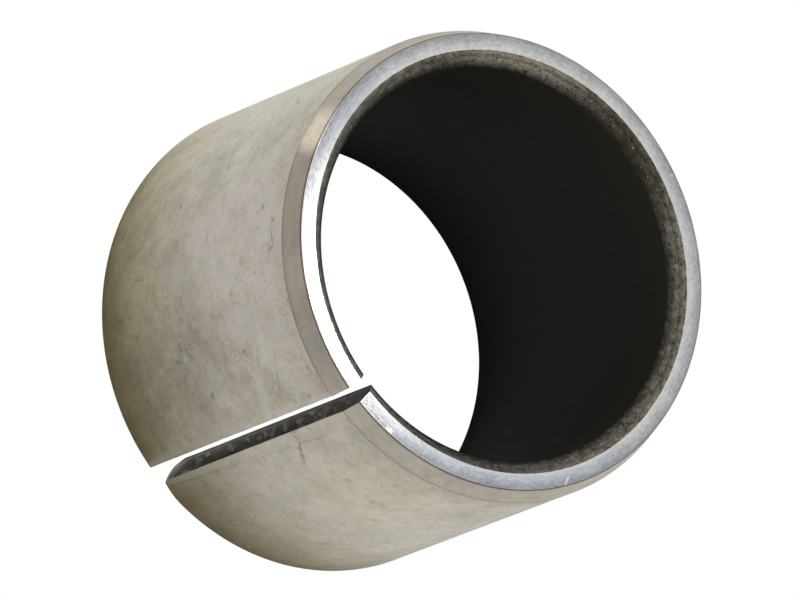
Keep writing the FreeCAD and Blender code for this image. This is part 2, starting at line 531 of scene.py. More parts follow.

# %% [markdown]
# ## The tinned outside
#
# Tin is a soft satin grey, and it lies over rolled steel; painted shade warms it to olive towards the lower
# end. The largest marks are a pale lilac tongue that hangs from the upper chamfer, beside it a greenish field,
# and a patch of painted shade with a yellowish fleck near the lower end. They were placed one by one.


# %% Large stains on the tin
def large_stains(fin):
    """Pale and dull stains, each where the real one lies, two fields of painted light and two of painted shade.
    """
    tongue = fin.blot(-133, 8.6, 2.7, 4.5, wander=1.3, wander_scale=1.2, softness=0.10)
    fin.lay(tongue, (0.70, 0.67, 0.69), 0.55)
    # Painted shade: a dull field below the tongue.
    shade_below_tongue = fin.blot(-118, 4.2, 1.9, 1.6, wander=1.4, softness=0.6)
    fin.tint(shade_below_tongue, (0.72, 0.71, 0.66), 0.6)
    green_field = fin.blot(-172, 7.0, 1.6, 2.4, wander=1.0, softness=0.5)
    fin.tint(green_field, (0.93, 0.97, 0.88), 0.7)
    # Painted light: a paler field at one side of the front, where the light falls more.
    painted_light_side = fin.blot(-192, 6.0, 2.6, 5.5, wander=0.8, softness=0.7)
    fin.lay(painted_light_side, (0.93, 0.94, 0.92), 0.50)
    # Painted light as well, a paler field at the other side.
    painted_light_right = fin.blot(-60, 5.0, 3.0, 3.6, wander=0.8, softness=0.6)
    fin.lay(painted_light_right, (0.92, 0.91, 0.86), 0.35)
    warm_side = fin.blot(-62, 7.0, 1.7, 2.6, wander=1.0, softness=0.6)
    fin.tint(warm_side, (1.0, 0.975, 0.90), 0.7)
    # Painted shade: a dull olive patch near the lower end, at the front.
    low_shade = fin.blot(-140, 0.4, 3.6, 3.4, wander=0.8, softness=0.7)
    fin.tint(low_shade, (0.83, 0.82, 0.75), 0.85)
    yellow_fleck = fin.blot(-133, 1.9, 0.6, 0.9, wander=0.7, wander_scale=1.5, softness=0.6)
    fin.lay(yellow_fleck, (0.68, 0.67, 0.46), 0.35)


def shaded_ends(fin):
    """Painted shade that warms and darkens the tin towards the lower end, most along its rim, and a brownish
    band below the chamfer.
    """
    height = fin.place["Height"]
    # Painted shade: warmer and darker towards the lower end.
    fin.tint(fin.ramp(height, 0.0, 4.0, 1.0, 0.0), (1.0, 0.97, 0.80), 0.9)
    # Painted shade: darker still along the rim of the lower end.
    wavering = fin.calc("MULTIPLY_ADD", fin.noise(0.8, 3.0), -0.8, height)
    fin.tint(fin.ramp(wavering, -0.3, 0.5, 1.0, 0.0), (0.84, 0.81, 0.69), 0.8)
    band = fin.ramp(height, SEAT_HIGH - 0.75, SEAT_HIGH - 0.05)
    fin.tint(band, (0.86, 0.84, 0.82), 0.5)


print("large stains ready")

# %% [markdown]
# Everything finer is random: mottled tone, stains, grime and specks. Where the shear pulled the edge over,
# beside each lip, the tin is paler, and on the +X side a faint crease runs along the inside of that edge.

# %% Fine stains and edges of the tin
LIP_LINE = math.pi * OUTSIDE - SEAM_OUTSIDE / 2


def fine_stains(fin):
    """Stains, patches of grime and rubbed spots, all random."""
    strip = fin.place["Strip"]
    stains = fin.ramp(fin.noise(1.7, 8.0, strip, (1.0, 1.0, 0.0), roughness=0.78), 0.53, 0.66)
    fin.tint(stains, (0.80, 0.76, 0.66), 0.85)
    grime = fin.ramp(fin.noise(7.0, 5.0, strip, (1.0, 0.8, 0.0), roughness=0.6), 0.58, 0.68)
    patches = fin.ramp(fin.noise(0.7, 3.0), 0.42, 0.60)
    fin.tint(grime, (0.70, 0.63, 0.51), patches)
    brightened = fin.ramp(fin.noise(4.2, 4.0, roughness=0.6), 0.60, 0.74)
    fin.lay(brightened, (0.90, 0.88, 0.86), 0.40)


def worked_edges(fin):
    """Paler rolled-over edges beside the lips, a broken crease in one, and a line of painted shade at the
    chamfer edge.
    """
    around = fin.place["Around"]
    height = fin.place["Height"]
    rolled_over = fin.ramp(fin.calc("ABSOLUTE", around), LIP_LINE - 0.24, LIP_LINE - 0.12)
    fin.lay(rolled_over, (0.78, 0.75, 0.70), 0.35)
    crease_line = fin.calc("MULTIPLY_ADD", height, -0.035, LIP_LINE - 0.15)
    from_crease = fin.calc("ABSOLUTE", fin.calc("SUBTRACT", around, crease_line))
    broken_up = fin.ramp(fin.noise(1.6, 4.0), 0.38, 0.58)
    fin.tint(fin.product(fin.ramp(from_crease, 0.0, 0.045, 1.0, 0.0), broken_up), (0.66, 0.58, 0.46), 0.5)
    # Painted shade: a dark line where the outside meets the chamfer.
    chamfer_edge_shade = fin.ramp(height, SEAT_HIGH - 0.03, SEAT_HIGH)
    fin.tint(chamfer_edge_shade, (0.62, 0.56, 0.47), 0.6)


print("lip lines at", round(LIP_LINE, 2), "mm either way from the side opposite the seam")

# %% [markdown]
# The small dark marks were placed one by one. Each has its azimuth in degrees, its height, its half
# length and half width in millimetres, and its lean in degrees. Noise breaks them up, as wear does.

# %% Small marks of handling
SPOTS = [
    (-94.5, 8.40, 0.060, 0.050, 0), (-142.0, 8.20, 0.09, 0.060, 20), (-140.0, 5.50, 0.07, 0.065, 0),
    (-116.5, 3.85, 0.09, 0.080, 30), (-115.0, 4.10, 0.07, 0.050, 0), (-152.0, 3.70, 0.08, 0.065, 10),
    (-103.0, 4.50, 0.08, 0.060, 45), (-70.0, 7.00, 0.08, 0.060, 40), (-102.0, 7.60, 0.07, 0.055, 0),
    (-110.0, 6.60, 0.07, 0.060, 0),
]
SCRATCHES = [
    (-176.0, 7.30, 0.20, 0.045, 40), (-138.0, 8.80, 0.12, 0.040, 60), (-131.0, 8.75, 0.14, 0.040, -50),
    (-116.0, 8.80, 0.10, 0.040, 70), (-113.5, 3.60, 0.12, 0.050, 80), (-87.6, 6.90, 0.12, 0.040, 85),
    (-81.9, 6.49, 0.48, 0.045, 139), (-86.7, 6.74, 0.14, 0.035, -145), (-139.6, 5.51, 0.18, 0.035, 5),
    (-133.6, 8.81, 0.20, 0.030, 15),
]


def small_marks(fin):
    """One mask for all spots and scratches of handling."""
    together = 0.0
    for azimuth, height, half_length, half_width, lean in SPOTS + SCRATCHES:
        mark = fin.blot(azimuth, height, half_length, half_width, lean=math.radians(lean), wander=0.22,
                        wander_scale=6.0, softness=0.8)
        together = fin.calc("MAXIMUM", together, mark)
    broken_up = fin.ramp(fin.noise(8.0, 4.0, roughness=0.7), 0.40, 0.52)
    return fin.product(together, broken_up)


print(len(SPOTS), "spots and", len(SCRATCHES), "scratches")


# %% Finish of the outside
def tinned_outside():
    """Satin tin with stains, painted light and shade, and the small marks of handling."""
    fin = Finish("tinned_outside", metallic=0.9, roughness=0.42)
    strip = fin.place["Strip"]
    clouds = fin.ramp(fin.noise(0.35, 5.0, roughness=0.6), 0.3, 0.7)
    fin.colour = fin.mix(clouds, (0.72, 0.72, 0.67), (0.83, 0.83, 0.80))
    mottle = fin.ramp(fin.noise(0.9, 9.0, roughness=0.82), 0.35, 0.65)
    fin.tint(mottle, (0.68, 0.67, 0.62))
    hue = fin.ramp(fin.noise(1.3, 5.0, strip, (1.0, 1.0, 0.0), roughness=0.7), 0.38, 0.62)
    fin.tint(1.0, fin.mix(hue, (0.97, 1.0, 0.98), (1.0, 0.925, 0.95)))
    large_stains(fin)
    shaded_ends(fin)
    fine_stains(fin)
    worked_edges(fin)
    dirt = fin.specks(1.5, 0.09, 0.22)
    fin.tint(dirt, (0.52, 0.46, 0.36), 0.6)
    marks = small_marks(fin)
    fin.tint(marks, (0.45, 0.39, 0.31), 0.65)
    sockets = {"Strip": strip, "Lean": 1.0, "Length": 0.25, "Thinness": 6.0, "Share": 0.46}
    hairs = fin.use(scuffs, sockets)["Mask"]
    fin.tint(hairs, (0.74, 0.67, 0.57), 0.55)
    heights = [(mottle, 0.003), (dirt, -0.008), (marks, -0.010), (hairs, -0.003)]
    return fin.end(heights, roughness=fin.ramp(mottle, 0.0, 1.0, 0.38, 0.46))


tin = tinned_outside()

# %% [markdown]
# ## The turned chamfer
#
# The outer chamfer is turned, so it shows fine rings and a browner bare tone, with one bright spot of painted
# highlight.


# %% Finish of the outer chamfer
def turned_chamfer():
    """Turned chamfer: browner than the outside, with fine rings, a painted highlight and a line of painted
    shade at each edge.
    """
    fin = Finish("turned_chamfer", metallic=0.95, roughness=0.4)
    height = fin.place["Height"]
    strip = fin.place["Strip"]
    mottle = fin.ramp(fin.noise(0.9, 8.0, roughness=0.8), 0.32, 0.68)
    fin.colour = fin.mix(mottle, (0.54, 0.515, 0.47), (0.71, 0.685, 0.65))
    shade = fin.blot(-128, 9.6, 3.6, 3.0, wander=1.0, softness=0.6)
    fin.tint(shade, (0.68, 0.65, 0.63), 0.65)
    # Painted highlight: a bright peach spot laid into the colour, where the roughness is also a little lower.
    brightened = fin.blot(-161, 9.62, 0.70, 0.75, wander=0.6, wander_scale=1.6, softness=0.55)
    brightened = fin.product(brightened, fin.ramp(fin.noise(2.5, 5.0, roughness=0.7), 0.30, 0.50, 0.6, 1.0))
    fin.lay(brightened, (1.0, 0.93, 0.82))
    blue_spot = fin.blot(-106, 9.66, 0.22, 0.20, wander=0.15, wander_scale=3.0, softness=0.7)
    fin.lay(blue_spot, (0.38, 0.41, 0.46), 0.6)
    rings = fin.noise(1.0, 3.0, strip, (0.15, 30.0, 30.0))
    fin.tint(fin.ramp(rings, 0.35, 0.65), (0.84, 0.82, 0.78), 0.3)
    bands = fin.ramp(fin.noise(1.0, 3.0, strip, (0.35, 5.0, 0.0)), 0.42, 0.60)
    fin.tint(bands, (0.82, 0.79, 0.74), 0.3)
    stains = fin.ramp(fin.noise(2.2, 6.0, roughness=0.7), 0.50, 0.64)
    fin.tint(stains, (0.80, 0.77, 0.72), 0.5)
    # Painted shade: a dark line along each edge of the chamfer.
    lower_edge_shade = fin.ramp(height, SEAT_HIGH + 0.01, SEAT_HIGH + 0.05, 1.0, 0.0)
    fin.tint(lower_edge_shade, (0.58, 0.51, 0.41), 0.7)
    upper_edge_shade = fin.ramp(height, LENGTH - 0.05, LENGTH - 0.03)
    fin.tint(upper_edge_shade, (0.40, 0.36, 0.32), 0.7)
    dirt = fin.specks(2.2, 0.12, 0.25)
    fin.tint(dirt, (0.50, 0.42, 0.33), 0.5)
    heights = [(rings, 0.002), (mottle, 0.003), (dirt, -0.008)]
    return fin.end(heights, roughness=fin.ramp(brightened, 0.0, 1.0, 0.40, 0.33))


chamfer = turned_chamfer()

# %% [markdown]
# ## The turned end face
#
# The end face is turned as well, and the tool left it very slightly conical, higher at the bore: that is why
# one side of it burns out in the light and the opposite side doesn't. The cone is in the bump only. Painted
# sparkle and glints make the face glitter between dark pits, and it has one scratch and one nick.

# %% Parts and marks of the end face
SCRATCH_AZIMUTH = -23.5
SCRATCH_START = 5.60
SCRATCH_MIDDLE = 5.70
SCRATCH_END = 5.82
SCRATCH_LEAN = -0.95
NICK_AZIMUTH = -77.5
NICK_START = 5.68


def uneven_tone(fin):
    """Parts of the face that are lighter, duller, bluer or darker, and a painted highlight as a warm line along
    the inner edge.
    """
    radius = fin.place["Radius"]
    inner_part = fin.ramp(radius, FACE_INNER + 0.04, FACE_INNER + 0.18, 1.0, 0.0)
    fin.lay(inner_part, (0.98, 0.98, 0.97), 0.45)
    dull_part = fin.blot(-166, LENGTH, 1.3, 2.0, wander=0.8, softness=0.5)
    fin.tint(dull_part, (0.74, 0.78, 0.84), 0.8)
    blue_part = fin.blot(-42, LENGTH, 3.6, 2.0, wander=1.6, softness=0.5)
    fin.tint(blue_part, (0.88, 0.93, 1.0), 0.9)
    outer_part = fin.ramp(radius, FACE_OUTER - 0.26, FACE_OUTER - 0.04)
    fin.tint(outer_part, (0.60, 0.61, 0.64), 0.9)
    # Painted highlight: a warm bright line along the inner edge, on one side of the face.
    inner_edge_highlight = fin.ramp(radius, FACE_INNER + 0.03, FACE_INNER + 0.07, 1.0, 0.0)
    warm_part = fin.blot(0, LENGTH, 4.5, 4.5, wander=2.0, wander_scale=0.8, softness=0.4)
    fin.lay(fin.product(inner_edge_highlight, warm_part), (1.0, 0.95, 0.88), 0.4)


def scratch_and_nick(fin):
    """Mask of one short slanted scratch, and of one nick in the outer half of the face."""
    radius = fin.place["Radius"]
    outward = fin.calc("SUBTRACT", radius, SCRATCH_MIDDLE)
    slanted = fin.calc("MULTIPLY_ADD", outward, SCRATCH_LEAN, fin.place["Around"])
    off_line = fin.calc("ABSOLUTE", fin.calc("SUBTRACT", slanted, along_strip(SCRATCH_AZIMUTH)))
    begun = fin.ramp(radius, SCRATCH_START, SCRATCH_START + 0.03)
    not_ended = fin.ramp(radius, SCRATCH_END - 0.03, SCRATCH_END, 1.0, 0.0)
    scratch = fin.product(fin.ramp(off_line, 0.016, 0.036, 1.0, 0.0), begun, not_ended)
    nick = fin.blot(NICK_AZIMUTH, LENGTH, 0.10, 1.0, wander=0.08, wander_scale=6.0, softness=0.4)
    return fin.calc("MAXIMUM", scratch, fin.product(nick, fin.ramp(radius, NICK_START, NICK_START + 0.06)))


print("scratch from", SCRATCH_START, "to", SCRATCH_END, "mm from the axis")

# %% Finish of the end face
FACE_SLOPE = 0.07


def turned_end_face():
    """Bright turned face with rings round the bore, painted sparkle and glints as highlights, and pits."""
    fin = Finish("turned_end_face", metallic=1.0, roughness=0.125)
    strip = fin.place["Strip"]
    clouds = fin.ramp(fin.noise(1.1, 6.0, roughness=0.7), 0.3, 0.7)
    fin.colour = fin.mix(clouds, (0.64, 0.66, 0.69), (0.93, 0.93, 0.93))
    streaks = fin.noise(1.0, 4.0, strip, (6.0, 0.0, 12.0), roughness=0.6)
    fin.tint(fin.ramp(streaks, 0.40, 0.60), (0.62, 0.64, 0.68), 0.6)
    # Painted highlights: a fine white sparkle laid into the colour.
    sparkle = fin.ramp(fin.noise(10.0, 3.0, roughness=0.7), 0.61, 0.68)
    fin.lay(sparkle, (1.0, 1.0, 1.0), 0.7)
    rings = fin.noise(1.0, 2.0, strip, (0.6, 0.0, 16.0))
    fin.tint(fin.ramp(rings, 0.40, 0.60), (0.80, 0.82, 0.86), 0.4)
    uneven_tone(fin)
    # Painted highlights: white glints laid into the colour.
    glints = fin.specks(3.0, 0.11, 0.30)
    fin.lay(glints, (1.0, 1.0, 1.0), 0.8)
    pits = fin.specks(1.7, 0.10, 0.16)
    fin.tint(pits, (0.35, 0.34, 0.33), 0.8)
    fin.lay(scratch_and_nick(fin), (1.0, 1.0, 1.0))
    grain = fin.noise(13.0, 3.0, roughness=0.55)
    return fin.end([(fin.place["Radius"], -FACE_SLOPE), (rings, 0.0012), (grain, 0.0011)])


face = turned_end_face()

# %% [markdown]
# ## The sheared lips
#
# The shear left the lips torn and dark, in bands that slant as the blade passed, with lighter lumps. At the
# lower end they are rubbed pale, and there the bare shine gives way to a dull smear.

# %% Finish of the lips
TEAR_LEAN = math.radians(-32)


def sheared_lip():
    """Torn dark shear face with slanted bands and lighter lumps, rubbed pale at its lower end."""
    fin = Finish("sheared_lip", metallic=0.7, roughness=0.5)
    height = fin.place["Height"]
    slanted = turned(fin.tree, fin.place["Millimetres"], TEAR_LEAN, "X_AXIS")
    torn = fin.ramp(fin.noise(1.0, 5.0, slanted, (1.0, 3.6, 0.9), roughness=0.6), 0.40, 0.62)
    fin.colour = fin.mix(torn, (0.020, 0.014, 0.008), (0.17, 0.14, 0.098))
    lumps = fin.ramp(fin.noise(1.0, 3.0, slanted, (1.0, 4.2, 1.0)), 0.52, 0.66)
    fin.lay(lumps, (0.75, 0.72, 0.68), 0.7)
    brown_top = fin.ramp(height, LENGTH - 2.2, LENGTH - 0.6)
    fin.lay(brown_top, (0.20, 0.14, 0.095), 0.6)
    wavering = fin.calc("MULTIPLY_ADD", fin.noise(3.0, 3.0), 0.5, height)
    brightened = fin.ramp(wavering, 0.55, 1.10, 1.0, 0.0)
    fin.lay(brightened, (0.62, 0.61, 0.54), 0.9)
    plug(fin.tree, fin.shader.inputs["Metallic"], fin.ramp(brightened, 0.0, 1.0, 0.7, 0.1))
    return fin.end([(torn, 0.008), (lumps, 0.008)])


lip = sheared_lip()

# %% [markdown]
# ## The sliding layer
#
# Where the inner chamfer cuts it, the layer shows its grains of bronze, with black PTFE in the pores between
# them. The cut smears the bronze over the steel beside it, so no boundary shows, and both layers take their
# finish there from one function. Towards the bore a film of PTFE closes over the bronze, matte and almost
# black.

# %% Finishes of the bore and the grains
FILM_EDGE = BORE + 0.08
FILM_FADE = 0.08
FILM_WANDER = 0.30


def film_over(fin):
    """Black film that closes over the bronze towards the bore, with a ragged edge."""
    uneven = fin.calc("SUBTRACT", fin.noise(5.0, 5.0, roughness=0.65), 0.5)
    ragged = fin.calc("MULTIPLY_ADD", uneven, FILM_WANDER, fin.place["Radius"])
    fin.lay(fin.ramp(ragged, FILM_EDGE - FILM_FADE, FILM_EDGE + FILM_FADE, 1.0, 0.0), (0.030, 0.030, 0.028))


def ptfe_lining():
    """Matte black film on the bore, faintly mottled, with painted light near the upper mouth."""
    fin = Finish("ptfe_lining", metallic=0.0, roughness=0.62, Specular_IOR_Level=0.18)
    mottled = fin.ramp(fin.noise(3.0, 6.0, roughness=0.7), 0.3, 0.7)
    fin.colour = fin.mix(mottled, (0.034, 0.0345, 0.0325), (0.041, 0.0415, 0.039))
    # Painted light: the film is laid lighter near the upper mouth of the bore, where more light gets in.
    painted_mouth_light = fin.ramp(fin.place["Height"], LENGTH - 1.8, LENGTH - 0.4)
    fin.lay(painted_mouth_light, (0.055, 0.055, 0.052), 0.6)
    return fin.end([(fin.noise(18.0, 3.0), 0.0010)])


def bronze_grain():
    """Grains that stand out of the cut, some of them still under the black film."""
    fin = Finish("bronze_grain", metallic=0.6, roughness=0.5)
    tone = fin.ramp(fin.noise(5.0, 5.0, roughness=0.62), 0.38, 0.60)
    fin.colour = fin.mix(tone, (0.07, 0.065, 0.057), (0.30, 0.28, 0.25))
    film_over(fin)
    return fin.end([(tone, 0.006)])


film = ptfe_lining()
grain_finish = bronze_grain()


# %% Finish of the inner chamfer
def cut_chamfer(name, tone):
    """Inner chamfer as the tool left it: smeared lumps and dark pores, with painted shade towards the bore and
    along the edge of the face.
    """
    fin = Finish(name, metallic=0.6, roughness=0.5)
    radius = fin.place["Radius"]
    lumps = fin.ramp(fin.noise(4.5, 6.0, roughness=0.68), 0.36, 0.64)
    fin.colour = fin.mix(lumps, (0.15, 0.143, 0.13), (0.43, 0.415, 0.385))
    fin.tint(1.0, tone)
    pale_part = fin.blot(132, LENGTH, 1.7, 2.0, wander=0.9, softness=0.5)
    fin.lay(pale_part, (0.80, 0.75, 0.67), 0.6)
    dark_part = fin.blot(88, LENGTH, 1.9, 2.0, wander=0.9, softness=0.5)
    fin.tint(dark_part, (0.42, 0.39, 0.32), 0.9)
    grey_part = fin.blot(-52, LENGTH, 2.4, 2.0, wander=0.9, softness=0.5)
    fin.tint(grey_part, (0.50, 0.51, 0.53), 0.8)
    # Painted shade: darker towards the bore, down into the hole.
    duller = fin.ramp(radius, BORE + 0.02, BORE + 0.30, 1.0, 0.0)
    fin.tint(duller, (0.50, 0.50, 0.49), 0.8)
    pores = fin.ramp(fin.noise(13.0, 3.0), 0.55, 0.66)
    fin.tint(pores, (0.35, 0.33, 0.30), 0.7)
    sparks = fin.ramp(fin.noise(7.0, 4.0, roughness=0.7), 0.62, 0.70)
    fin.lay(sparks, (0.85, 0.84, 0.80), 0.5)
    # Painted shade: a dark line along the edge where the chamfer meets the end face.
    inner_edge_shade = fin.ramp(radius, FACE_INNER - 0.035, FACE_INNER - 0.015)
    fin.tint(inner_edge_shade, (0.36, 0.34, 0.31), 0.5)
    film_over(fin)
    return fin.end([(lumps, 0.010), (pores, -0.005)])


cut_steel = cut_chamfer("cut_steel", (1.30, 1.29, 1.26))
cut_bronze = cut_chamfer("cut_bronze", (1.0, 1.0, 1.0))

# %% Which zone takes which finish
steel_finishes = {OUTER_SKIN: tin, OUTER_BEVEL: chamfer, END_FACE: face, INNER_BEVEL: cut_steel,
                  INNER_SKIN: cut_steel, LIP: lip}
lining_finishes = {INNER_SKIN: film, INNER_BEVEL: cut_bronze, OUTER_SKIN: cut_bronze,
                   OUTER_BEVEL: cut_bronze, END_FACE: cut_bronze, LIP: cut_bronze}
print(len(bpy.data.materials), "materials")

# %% [markdown]
# ## Rolling the strip up
#
# The tree turns the flat bar's X into an angle round the axis. The lips don't point at the axis: they flare,
# so the tree first works out at which angle the lip stands at each distance from the axis. Geometry Nodes
# suit all of this, because each step is one formula per point.
#
# The inputs are in millimetres, but for two: the lip angle is in radians, and the power with which the wear
# grows towards the outside is a plain number. The tear strength is how deep the noise would tear if it stood
# 1 above its threshold.

# %% Geometry tree: inputs of the roll-up
ROLLING = {
    "Geometry": "Geometry", "Bore radius": BORE, "Outside radius": OUTSIDE,
    "Half gap at bore": SEAM_AT_BORE / 2, "Lip angle": LIP_ANGLE, "Roll-over width": 0.18,
    "Roll-over depth": 0.03, "Roll-over crown": 0.004, "Corner radius": 0.12, "Worn corner radius": 0.62,
    "Worn to the outside": 2.5, "Worn depth": 0.22, "Worn reach": 0.60, "Tear strength": 0.018,
    "Tear size": 0.60, "Tear reach": 0.12, "Millimetre": MM,
}
NO_TEAR_BELOW = 0.35
FULL_TEAR_ABOVE = 0.80
TEAR_THRESHOLD = 0.4
OTHER_LIP = 50.0


def lip_angle_at(tree, size, distance):
    """Angle from the middle of the seam to the flared lip, at each distance from the axis."""
    do = partial(calc, tree)
    half_gap = size["Half gap at bore"]
    bore = size["Bore radius"]
    flare = do("SINE", size["Lip angle"])
    outward = do("COSINE", size["Lip angle"])
    start = do("MULTIPLY_ADD", half_gap, flare, do("MULTIPLY", bore, outward))
    offset = do("SUBTRACT", do("MULTIPLY", half_gap, outward), do("MULTIPLY", bore, flare))
    squares = do("SUBTRACT", do("MULTIPLY", distance, distance), do("MULTIPLY", offset, offset))
    reach = do("SUBTRACT", do("SQRT", squares), start)
    lip_x = do("MULTIPLY_ADD", flare, reach, half_gap)
    lip_y = do("MULTIPLY_ADD", outward, reach, bore)
    return do("ARCTAN2", lip_x, lip_y)


print(len(ROLLING), "inputs")

# %% [markdown]
# The shear also pulled the outside down beside each lip, and tore the lips a little. The noise for the other
# lip is taken from another place, so that the two don't tear alike. The strip's lower corners are rounded,
# and handling has worn the outer one on the +X side back further.


# %% Geometry tree: wear and shear
def worn_side_at(tree, size, side, distance):
    """Share of the wear that a point takes: all of it outside on the +X lip, and none at the bore."""
    outer_share = ramp(tree, distance, size["Bore radius"], size["Outside radius"])
    near_outside = calc(tree, "POWER", outer_share, size["Worn to the outside"])
    return product(tree, near_outside, calc(tree, "SUBTRACT", 1.0, side))


def corner_cut(tree, size, height, worn_side):
    """How far the rounded lower corner takes the lip back at a height."""
    do = partial(calc, tree)
    radius = ramp(tree, worn_side, 0.0, 1.0, size["Corner radius"], size["Worn corner radius"])
    below = do("SUBTRACT", radius, do("MINIMUM", height, radius))
    left = do("SUBTRACT", do("MULTIPLY", radius, radius), do("MULTIPLY", below, below))
    return do("SUBTRACT", radius, do("SQRT", do("MAXIMUM", left, 0.0)))


def torn_back(tree, size, side, distance, height, arc):
    """How far the tearing takes the lip back, fading away from the lip and towards the lower end."""
    place = joined(tree, distance, height, calc(tree, "MULTIPLY", side, OTHER_LIP))
    rough = noise(tree, place, calc(tree, "DIVIDE", 1.0, size["Tear size"]), 0.0)["Fac"]
    above = calc(tree, "MAXIMUM", calc(tree, "SUBTRACT", rough, TEAR_THRESHOLD), 0.0)
    fading = ramp(tree, arc, 0.0, size["Tear reach"], 1.0, 0.0)
    higher_up = ramp(tree, height, NO_TEAR_BELOW, FULL_TEAR_ABOVE)
    return product(tree, above, size["Tear strength"], fading, higher_up)


def rolled_over_to(tree, size, distance, arc):
    """Distance from the axis once the shear has pulled the outside down beside the lip."""
    do = partial(calc, tree)
    along = add(tree, "ShaderNodeClamp", {0: do("DIVIDE", arc, size["Roll-over width"])}).outputs[0]
    to_surface = do("SUBTRACT", 1.0, along)
    crown = product(tree, along, to_surface, size["Roll-over crown"], 4.0)
    drop = do("SUBTRACT", do("MULTIPLY", to_surface, size["Roll-over depth"]), crown)
    return do("MINIMUM", distance, do("SUBTRACT", size["Outside radius"], drop))


def worn_away(tree, size, height, arc, worn_side):
    """Depth that wear has taken off the outside near the lower corner."""
    near_lip = ramp(tree, arc, 0.0, size["Worn reach"], 1.0, 0.0)
    near_end = ramp(tree, height, 0.0, size["Worn reach"], 1.0, 0.0)
    near_corner = product(tree, near_lip, near_end)
    return product(tree, near_corner, near_corner, worn_side, size["Worn depth"])


print("wear and shear ready")


# %% Geometry tree: roll up
def in_zone(tree, number):
    """Whether a face belongs to a zone, by the whole number that the mesher stored on it."""
    zone = add(tree, "GeometryNodeInputNamedAttribute", {"Name": "zone"}, data_type="INT").outputs[0]
    equal = add(tree, "FunctionNodeCompare", {2: zone, 3: number}, data_type="INT", operation="EQUAL")
    return equal.outputs[0]


def roll_up(name, finishes):
    """Tree that rolls a flat bar into the split ring and gives each zone its finish."""
    tree, size, result = new_group(name, "GeometryNodeTree", ROLLING, {"Geometry": "Geometry"})
    do = partial(calc, tree)
    share, distance, height = parts(tree, add(tree, "GeometryNodeInputPosition").outputs[0])
    side = do("GREATER_THAN", share, 0.5)
    from_lip = do("MINIMUM", share, do("SUBTRACT", 1.0, share))
    arc = product(tree, from_lip, distance, 2 * math.pi)
    worn_side = worn_side_at(tree, size, side, distance)
    corner = corner_cut(tree, size, height, worn_side)
    taken_back = do("ADD", corner, torn_back(tree, size, side, distance, height, arc))
    lip_angle = do("ADD", lip_angle_at(tree, size, distance), do("DIVIDE", taken_back, distance))
    whole_turn = do("SUBTRACT", 2 * math.pi, do("MULTIPLY", lip_angle, 2.0))
    angle = do("ADD", do("MULTIPLY_ADD", share, whole_turn, lip_angle), -math.pi / 2)
    worn = worn_away(tree, size, height, arc, worn_side)
    radius = do("SUBTRACT", rolled_over_to(tree, size, distance, arc), worn)
    x = do("MULTIPLY", radius, do("COSINE", angle))
    y = do("MULTIPLY", radius, do("SINE", angle))
    rolled = vector_calc(tree, "SCALE", joined(tree, x, y, height), scale=size["Millimetre"])
    ring = add(tree, "GeometryNodeSetPosition", {"Geometry": size["Geometry"], "Position": rolled}).outputs[0]
    ring = add(tree, "GeometryNodeRealizeInstances", {"Geometry": ring}).outputs[0]
    for number, material in finishes.items():
        sockets = {"Geometry": ring, "Selection": in_zone(tree, number), "Material": material}
        ring = add(tree, "GeometryNodeSetMaterial", sockets).outputs[0]
    plug(tree, result["Geometry"], ring)
    print(name, "has", len(tree.nodes), "nodes")
    return tree


# %% Run a tree and keep its result
def grow(piece, tree):
    """Run a Geometry Nodes tree on a piece and keep the result as its plain mesh."""
    modifier = piece.modifiers.new(tree.name, "NODES")
    modifier.node_group = tree
    for socket in tree.interface.items_tree:
        if socket.in_out == "INPUT" and socket.socket_type != "NodeSocketGeometry":
            modifier[socket.identifier] = socket.default_value
    depsgraph = bpy.context.evaluated_depsgraph_get()
    mesh = bpy.data.meshes.new_from_object(piece.evaluated_get(depsgraph), depsgraph=depsgraph)
    piece.modifiers.remove(modifier)
    piece.data = mesh
    mesh.name = piece.name
    print(piece.name, "has", sum(len(face.vertices) - 2 for face in mesh.polygons), "triangles,",
          len(mesh.materials), "finishes")


grow(steel, roll_up("roll up the steel", steel_finishes))
grow(lining, roll_up("roll up the lining", lining_finishes))

# %% [markdown]
# ## Grains on the inner chamfers
#
# The grains of sintered bronze are about a tenth of a millimetre, and the chamfer cuts them flush, so they
# show as flat irregular lumps. Most are drawn by the finish, and some stand a little proud: for those,
# Geometry Nodes scatter points over the chamfer of the lining, drop the ones that the black film covers or
# that lie by the seam, and put a small flattened ball on each. Noise then dents them all, each one in its own
# way.

# %% Geometry tree: where the grains lie
GRAINS = {
    "Geometry": "Geometry", "Spacing": 0.19 * MM, "Smallest": 0.022 * MM, "Largest": 0.060 * MM,
    "Flatness": 0.25, "Dents": 0.012 * MM, "Dent size": 0.05 * MM, "Film edge": FILM_EDGE * MM,
    "Clear of the seam": 0.45 * MM, "Seed": 4,
}
AS_MANY_AS_FIT = 1e9


def bare_points(tree, size):
    """Points over the inner chamfer, but for those under the film or by the seam. Also their rotations."""
    sockets = {"Mesh": size["Geometry"], "Selection": in_zone(tree, INNER_BEVEL), "Seed": size["Seed"],
               "Distance Min": size["Spacing"], "Density Max": AS_MANY_AS_FIT}
    scattered = add(tree, "GeometryNodeDistributePointsOnFaces", sockets, distribute_method="POISSON")
    scattered = scattered.outputs
    x, y, _ = parts(tree, add(tree, "GeometryNodeInputPosition").outputs[0])
    under_film = calc(tree, "LESS_THAN", diagonal(tree, x, y), size["Film edge"])
    by_seam = calc(tree, "LESS_THAN", calc(tree, "ABSOLUTE", x), size["Clear of the seam"])
    by_seam = calc(tree, "MULTIPLY", by_seam, calc(tree, "LESS_THAN", y, 0.0))
    sockets = {"Geometry": scattered["Points"], "Selection": calc(tree, "MAXIMUM", under_film, by_seam)}
    kept = add(tree, "GeometryNodeDeleteGeometry", sockets, domain="POINT").outputs[0]
    return kept, scattered["Rotation"]


